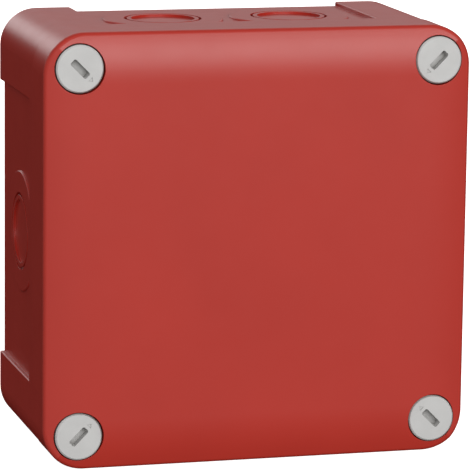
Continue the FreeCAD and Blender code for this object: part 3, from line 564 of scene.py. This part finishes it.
    bolt = addNode(tree, "GeometryNodeMeshCube",
                   links={"Size": vector(calc("MULTIPLY", given["Lug Reach"], 2.0), given["Lug Width"],
                                         given["Lug Height"])})
    lugs = onlyIf(given["Lug Reach"], moved(bolt.outputs["Mesh"], vector(z=given["Lug Middle"])))
    whole = addNode(tree, "GeometryNodeMeshBoolean", links={"Mesh 2": cut.outputs["Mesh"]}, operation="UNION",
                    solver="EXACT")
    tree.links.new(lugs, whole.inputs["Mesh 2"])

    twist = addNode(tree, "FunctionNodeEulerToRotation", links={0: vector(z=given["Turn"])})
    aimed = addNode(tree, "GeometryNodeTransform", links={"Geometry": welded(whole.outputs["Mesh"]),
                                                         "Rotation": twist.outputs[0]})
    forwards = addNode(tree, "GeometryNodeTransform", {"Rotation": (math.pi / 2, 0, 0)},
                       {"Geometry": aimed.outputs[0], "Translation": given["Place"]})
    line = addNode(tree, "GeometryNodeMeshLine", links={"Count": given["Count"], "Offset": given["Step"]})
    copies = addNode(tree, "GeometryNodeInstanceOnPoints", links={"Points": line.outputs["Mesh"],
                                                                 "Instance": forwards.outputs[0]})
    endTree(tree, copies.outputs[0], given["Finish"])
    return tree


def makeScrew(name, node, body, look, tail, place, finish, turn, count=1, step=(0, 0, 0)):
    # a head with a bevelled face, then the tail of the profile, and the sizes that the tree asks for, in mm
    profile = [(0, look["face"]), (look["head"] - look["bevel"], look["face"]),
               (look["head"], look["face"] - look["bevel"]), (look["head"], look["back"]), *tail]
    values = {label: size * mm for label, size in look["sizes"].items()}
    values |= {"Face": look["face"] * mm, "Segments": 64, "Turn": turn, "Place": [v * mm for v in place],
               "Count": count, "Step": [v * mm for v in step], "Finish": finish}
    outline = lineMesh([(radius * mm, 0, height * mm) for radius, height in profile])
    piece = grow(screwTree, name, outline, values)
    smoothMesh(piece.data)
    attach(piece, body)
    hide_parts(node)


def middle(node):  # x and z of a node in mm
    low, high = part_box(node)
    return (low[0] + high[0]) / 2 / mm, (low[2] + high[2]) / 2 / mm


def threaded(top, bottom, pitch, crest, root):  # zigzag flanks down a shank
    teeth = int((top - bottom) / pitch)
    return [(crest if half % 2 else root, top - half * pitch / 2) for half in range(2 * teeth)]


screwTree = makeScrewTree()

coverScrew = {"face": 54.45, "back": 51.5, "head": 5.7, "bevel": 0.35, "shank": 3.496, "tip": 33.3,
              "tipBevel": 0.5,
              "sizes": {"Slot Length": 5.2, "Slot Width": 1.8, "Slot Depth": 2.2, "Slot Ramp": 0.3,
                        "Slot Rounding": 0.5, "Pointer Start": 3.4, "Pointer Length": 0.9,
                        "Pointer Width": 1.3, "Pointer Depth": 0.15, "Lug Reach": 5.19, "Lug Width": 2.6,
                        "Lug Height": 1.9, "Lug Middle": 34.85}}

look = coverScrew
tail = [(look["shank"], look["back"]), (look["shank"], look["tip"] + look["tipBevel"]),
        (look["shank"] - look["tipBevel"], look["tip"]), (0, look["tip"])]
for corner, (signX, signZ) in corners.items():
    x, z = middle(f"cover_screw_{corner}")
    makeScrew(f"coverScrew_{corner}", f"cover_screw_{corner}", f"turn_screw_{corner}", look,
              tail, (x, 0, z), greyFinish, turn=math.atan2(-signZ, -signX))

clampScrew = {"face": 17.4, "back": 15.4, "head": 2.1, "bevel": 0.25, "shank": 1.5, "root": 1.24,
              "pitch": 0.7, "tip": 11.5, "tipRadius": 0.9, "tipBevel": 0.3, "threadEnd": 0.5, "seed": 5,
              "sizes": {"Slot Length": 6.0, "Slot Width": 0.6, "Slot Rounding": 0.05, "Slot Depth": 1.0}}

look = clampScrew
turns = random.Random(look["seed"])
tail = [*threaded(look["back"], look["tip"] + look["threadEnd"], look["pitch"], look["shank"], look["root"]),
        (look["root"], look["tip"] + look["tipBevel"]), (look["tipRadius"], look["tip"]), (0, look["tip"])]
for part in ("upper", "lower"):
    for pole in range(1, 6):
        x, z = middle(f"clamp_screw_{part}_{pole}")
        makeScrew(f"clampScrew_{part}_{pole}", f"clamp_screw_{part}_{pole}", f"clamp_{part}_{pole}",
                  look, tail, (x, 0, z), zincFinish, turn=turns.uniform(0, math.pi))

fixing = {"face": 14.9, "back": 13.0, "head": 2.8, "bevel": 0.3, "shank": 1.45, "root": 1.1, "pitch": 1.1,
          "tip": 2.2, "tipBevel": 1.0, "threadEnd": 1.2, "spread": 27.0, "turn": 0.5,
          "sizes": {"Slot Length": 7.0, "Slot Width": 0.8, "Slot Rounding": 0.05, "Slot Depth": 0.95}}

look = fixing
tail = [*threaded(look["back"], look["tip"] + look["threadEnd"], look["pitch"], look["shank"], look["root"]),
        (look["root"], look["tip"] + look["tipBevel"]), (0, look["tip"])]
makeScrew("blockFixings", "block_fixings", "housing", look, tail, (-look["spread"], 0, 0),
          zincFinish, turn=look["turn"], count=2, step=(2 * look["spread"], 0, 0))
print("screws turned")


# ejector marks

ejector = {"radius": 2.2, "sides": 40, "proud": 0.08, "sunk": 0.3, "floorLevel": 2.8, "lidLevel": 51.8,
           "floor": [(-38, 20), (38, 20), (-38, -20), (38, -20), (-20, 38), (20, 38), (-20, -38), (20, -38)],
           "lid": [(-30, 30), (30, 30), (-30, -30), (30, -30), (0, 34), (0, -34), (-34, 0), (34, 0), (0, 0)]}


def makeEjectorTree():  # a low disc at each point, where a pin pushed the moulding out of its tool
    tree, given = newTree("ejectorMarks", {"Radius": "Float", "Height": "Float", "Finish": "Material"})
    disc = addNode(tree, "GeometryNodeMeshCylinder", {"Vertices": ejector["sides"]},
                   {"Radius": given["Radius"], "Depth": given["Height"]})
    flat = addNode(tree, "GeometryNodeTransform", {"Rotation": (math.pi / 2, 0, 0)},
                   {"Geometry": disc.outputs["Mesh"]})
    copies = addNode(tree, "GeometryNodeInstanceOnPoints", links={"Points": given["Geometry"],
                                                                 "Instance": flat.outputs[0]})
    endTree(tree, copies.outputs[0], given["Finish"])
    return tree


ejectorTree = makeEjectorTree()
for name, body, inwards in (("floor", "housing", 1), ("lid", "cover", -1)):  # proud of the inner face
    level = ejector[name + "Level"] + inwards * (ejector["proud"] - ejector["sunk"]) / 2
    spots = bpy.data.meshes.new(name + "Spots")
    spots.from_pydata([(x * mm, -level * mm, z * mm) for x, z in ejector[name]], [], [])
    marks = grow(ejectorTree, f"ejectorMarks_{name}", spots, {
        "Radius": ejector["radius"] * mm, "Height": (ejector["proud"] + ejector["sunk"]) * mm,
        "Finish": redFinish})
    smoothMesh(marks.data)
    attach(marks, body)
print("ejector marks made")
